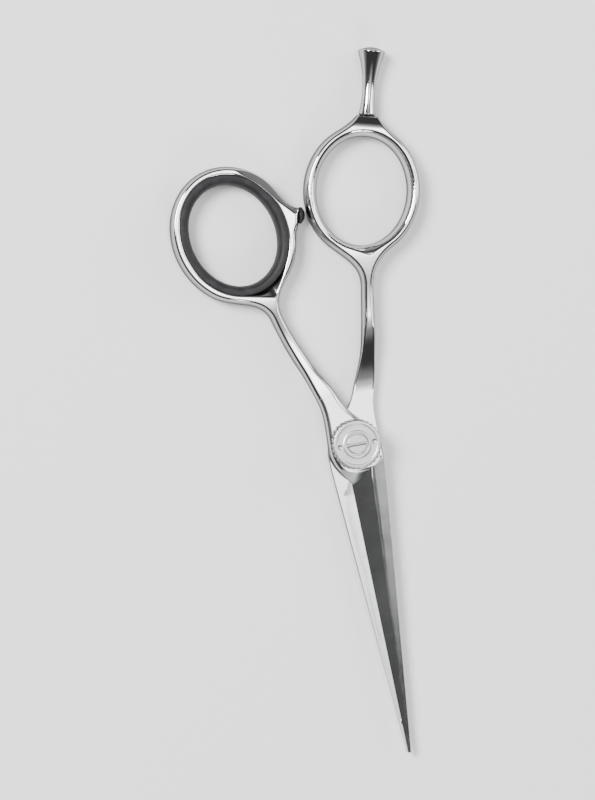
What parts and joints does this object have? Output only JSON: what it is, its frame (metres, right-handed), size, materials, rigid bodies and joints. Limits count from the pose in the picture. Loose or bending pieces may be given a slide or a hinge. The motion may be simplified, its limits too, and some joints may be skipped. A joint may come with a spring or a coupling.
{
  "type": "hair cutting shears",
  "caption": "Polished steel hair cutting shears with offset ring handles, rubber thumb insert, bumper, screw-in finger rest and a knurled bearing pivot dial.",
  "frame": {"origin": "on the pivot axis, at the plane the closed shears rest on", "axes": "+Z along the pivot axis to the dial, +Y from the pivot to the rings; the tips point to -Y, the finger ring is at +X and the thumb ring at -X"},
  "size_m": [0.0614, 0.1676, 0.0089],
  "materials": {
    "polished_steel": "mirror polished stainless steel",
    "blade_steel": "finely ground stainless steel",
    "hardware_steel": "satin",
    "spring_steel": "satin",
    "black_rubber": "satin",
    "white_nylon": "matte",
    "brass": "satin"
  },
  "bodies": {
    "finger_half": {"finger_blade": "blade_steel", "finger_handle": "polished_steel", "finger_rest_washer": "black_rubber", "pivot_bolt": "hardware_steel", "glide_washer": "white_nylon", "upper_race": "hardware_steel", "cone_spring": "spring_steel", "click_plate": "spring_steel", "lock_screw": "hardware_steel"},
    "thumb_half": {"thumb_blade": "blade_steel", "thumb_handle": "polished_steel", "thumb_ring_insert": "black_rubber", "bumper": "black_rubber", "pivot_bush": "brass", "lower_race": "hardware_steel"},
    "bearing": {"ball_cage": "brass", "bearing_balls": "hardware_steel"},
    "dial": {"tension_dial": "hardware_steel", "dial_nut": "hardware_steel"},
    "rest": {"finger_rest": "polished_steel"}
  },
  "joints": [
    {"name": "blade_pivot", "type": "hinge", "parent": "finger_half", "child": "thumb_half", "pos_m": [0, 0, 0.0032], "axis": [0, 0, 1], "range_deg": [0, 65]},
    {"name": "bearing_turn", "type": "hinge", "parent": "finger_half", "child": "bearing", "pos_m": [0, 0, 0.0061], "axis": [0, 0, 1], "range_deg": [0, 32.5]},
    {"name": "dial_turn", "type": "hinge", "parent": "finger_half", "child": "dial", "pos_m": [0, 0, 0.0075], "axis": [0, 0, 1], "range_deg": [-90, 90]},
    {"name": "rest_screw", "type": "hinge", "parent": "finger_half", "child": "rest", "pos_m": [0.01723, 0.07682, 0.0032], "axis": [0.2504, 0.9681, 0], "range_deg": [0, 360]}
  ],
  "couplings": [
    {"joint": "bearing_turn", "follows": "blade_pivot", "ratio": 0.5}
  ]
}
